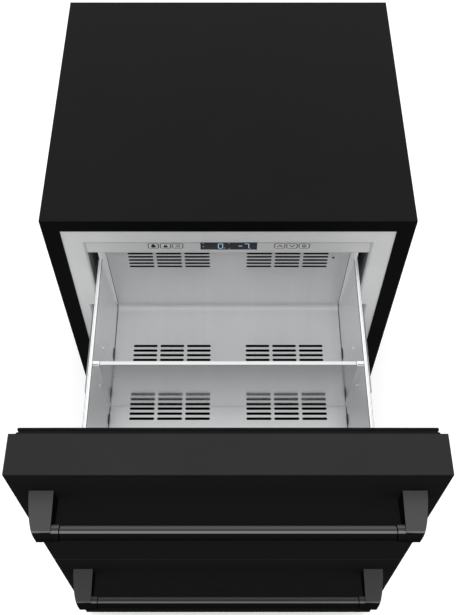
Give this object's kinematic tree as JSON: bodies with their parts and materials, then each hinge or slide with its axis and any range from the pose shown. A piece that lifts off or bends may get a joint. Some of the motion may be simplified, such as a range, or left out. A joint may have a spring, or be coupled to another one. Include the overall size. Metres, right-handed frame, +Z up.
{
  "type": "undercounter freezer drawer",
  "caption": "Undercounter freezer with stacked drawers on telescopic slides, bar handles, slotted stainless boxes and a control panel inside.",
  "frame": {"origin": "on the floor, under the middle of the appliance with both drawers open", "axes": "+Z up, -Y towards the user, +X to the user's right"},
  "size_m": [0.606, 1.0183, 0.876],
  "materials": {
    "cabinet_paint": "satin black powder coat",
    "front_paint": "satin black powder coat",
    "handle": "satin black powder coat",
    "galvanised": "galvanised",
    "foam": "rigid foam",
    "liner": "moulded satin",
    "fascia": "moulded satin",
    "display": "dark gloss lens",
    "circuit_board": "lacquered board",
    "key": "moulded satin",
    "white_plastic": "moulded satin",
    "coil": "mill finish",
    "motor": "moulded matt",
    "fan": "moulded matt",
    "compressor": "gloss black enamel",
    "rubber": "moulded",
    "copper": "drawn copper",
    "dark_plastic": "moulded matt",
    "black_plastic": "moulded satin",
    "seal": "extruded",
    "foot": "moulded matt",
    "slide": "zinc plated",
    "stainless": "satin stainless"
  },
  "bodies": {
    "cabinet": {"top_panel": "cabinet_paint", "side_panel_left": "cabinet_paint", "side_panel_right": "cabinet_paint", "back_panel": "galvanised", "base_pan": "galvanised", "front_frame": "cabinet_paint", "insulation_foam": "foam", "upper_liner": "liner", "lower_liner": "liner", "control_panel": "fascia", "display_window": "display", "control_board": "circuit_board", "evaporator_cover": "white_plastic", "evaporator": "coil", "evaporator_fan_motor": "motor", "compressor": "compressor", "compressor_grommets": "rubber", "condenser": "coil", "condenser_fan_shroud": "motor", "refrigerant_lines": "copper", "drain_pan": "dark_plastic", "machine_cover": "galvanised", "power_inlet": "dark_plastic", "toe_kick_grille": "cabinet_paint", "upper_slide_outers": "slide", "lower_slide_outers": "slide"},
    "upper_drawer": {"upper_slide_inners": "slide", "upper_front_skin": "front_paint", "upper_front_foam": "foam", "upper_front_plate": "black_plastic", "upper_seal": "seal", "upper_handle_bar": "handle", "upper_handle_posts": "handle", "upper_box_tray": "stainless", "upper_box_sides": "stainless"},
    "upper_slide_carriage": {"upper_slide_middles": "slide"},
    "upper_divider_panel": {"upper_divider": "stainless"},
    "lower_drawer": {"lower_slide_inners": "slide", "lower_front_skin": "front_paint", "lower_front_foam": "foam", "lower_front_plate": "black_plastic", "lower_seal": "seal", "lower_handle_bar": "handle", "lower_handle_posts": "handle", "lower_box_tray": "stainless", "lower_box_sides": "stainless"},
    "lower_slide_carriage": {"lower_slide_middles": "slide"},
    "lower_divider_panel": {"lower_divider": "stainless"},
    "power_key": {"power_key": "key"},
    "lock_key": {"lock_key": "key"},
    "mode_key": {"mode_key": "key"},
    "up_key": {"up_key": "key"},
    "down_key": {"down_key": "key"},
    "set_key": {"set_key": "key"},
    "foot_front_left": {"foot_front_left": "foot"},
    "foot_front_right": {"foot_front_right": "foot"},
    "foot_back_left": {"foot_back_left": "foot"},
    "foot_back_right": {"foot_back_right": "foot"},
    "evaporator_fan_rotor": {"evaporator_fan": "fan"},
    "condenser_fan_rotor": {"condenser_fan": "fan"}
  },
  "joints": [
    {"name": "upper_drawer_slide", "type": "slide", "parent": "cabinet", "child": "upper_drawer", "axis": [0, -1, 0], "range_m": [-0.3536, 0]},
    {"name": "upper_carriage_slide", "type": "slide", "parent": "cabinet", "child": "upper_slide_carriage", "axis": [0, -1, 0], "range_m": [-0.1768, 0]},
    {"name": "upper_divider_lift", "type": "slide", "parent": "upper_drawer", "child": "upper_divider_panel", "axis": [0, 0, 1], "range_m": [0, 0.16]},
    {"name": "lower_drawer_slide", "type": "slide", "parent": "cabinet", "child": "lower_drawer", "axis": [0, -1, 0], "range_m": [-0.3536, 0]},
    {"name": "lower_carriage_slide", "type": "slide", "parent": "cabinet", "child": "lower_slide_carriage", "axis": [0, -1, 0], "range_m": [-0.1768, 0]},
    {"name": "lower_divider_lift", "type": "slide", "parent": "lower_drawer", "child": "lower_divider_panel", "axis": [0, 0, 1], "range_m": [0, 0.16]},
    {"name": "power_key_press", "type": "slide", "parent": "cabinet", "child": "power_key", "axis": [0, 1, 0], "range_m": [0, 0.0008], "stiffness_N_per_m": 400, "springref_m": -0.0005},
    {"name": "lock_key_press", "type": "slide", "parent": "cabinet", "child": "lock_key", "axis": [0, 1, 0], "range_m": [0, 0.0008], "stiffness_N_per_m": 400, "springref_m": -0.0005},
    {"name": "mode_key_press", "type": "slide", "parent": "cabinet", "child": "mode_key", "axis": [0, 1, 0], "range_m": [0, 0.0008], "stiffness_N_per_m": 400, "springref_m": -0.0005},
    {"name": "up_key_press", "type": "slide", "parent": "cabinet", "child": "up_key", "axis": [0, 1, 0], "range_m": [0, 0.0008], "stiffness_N_per_m": 400, "springref_m": -0.0005},
    {"name": "down_key_press", "type": "slide", "parent": "cabinet", "child": "down_key", "axis": [0, 1, 0], "range_m": [0, 0.0008], "stiffness_N_per_m": 400, "springref_m": -0.0005},
    {"name": "set_key_press", "type": "slide", "parent": "cabinet", "child": "set_key", "axis": [0, 1, 0], "range_m": [0, 0.0008], "stiffness_N_per_m": 400, "springref_m": -0.0005},
    {"name": "evaporator_fan_spin", "type": "hinge", "parent": "cabinet", "child": "evaporator_fan_rotor", "pos_m": [0, 0.38315, 0.683], "axis": [0, 1, 0], "continuous": true},
    {"name": "condenser_fan_spin", "type": "hinge", "parent": "cabinet", "child": "condenser_fan_rotor", "pos_m": [-0.128, 0.45465, 0.1415], "axis": [1, 0, 0], "continuous": true},
    {"name": "foot_front_left_turn", "type": "hinge", "parent": "cabinet", "child": "foot_front_left", "pos_m": [-0.262, 0.07615, 0.03], "axis": [0, 0, 1], "continuous": true},
    {"name": "foot_front_right_turn", "type": "hinge", "parent": "cabinet", "child": "foot_front_right", "pos_m": [0.262, 0.07615, 0.03], "axis": [0, 0, 1], "continuous": true},
    {"name": "foot_back_left_turn", "type": "hinge", "parent": "cabinet", "child": "foot_back_left", "pos_m": [-0.262, 0.46115, 0.03], "axis": [0, 0, 1], "continuous": true},
    {"name": "foot_back_right_turn", "type": "hinge", "parent": "cabinet", "child": "foot_back_right", "pos_m": [0.262, 0.46115, 0.03], "axis": [0, 0, 1], "continuous": true}
  ],
  "couplings": [
    {"joint": "upper_carriage_slide", "follows": "upper_drawer_slide", "ratio": 0.5},
    {"joint": "lower_carriage_slide", "follows": "lower_drawer_slide", "ratio": 0.5}
  ]
}
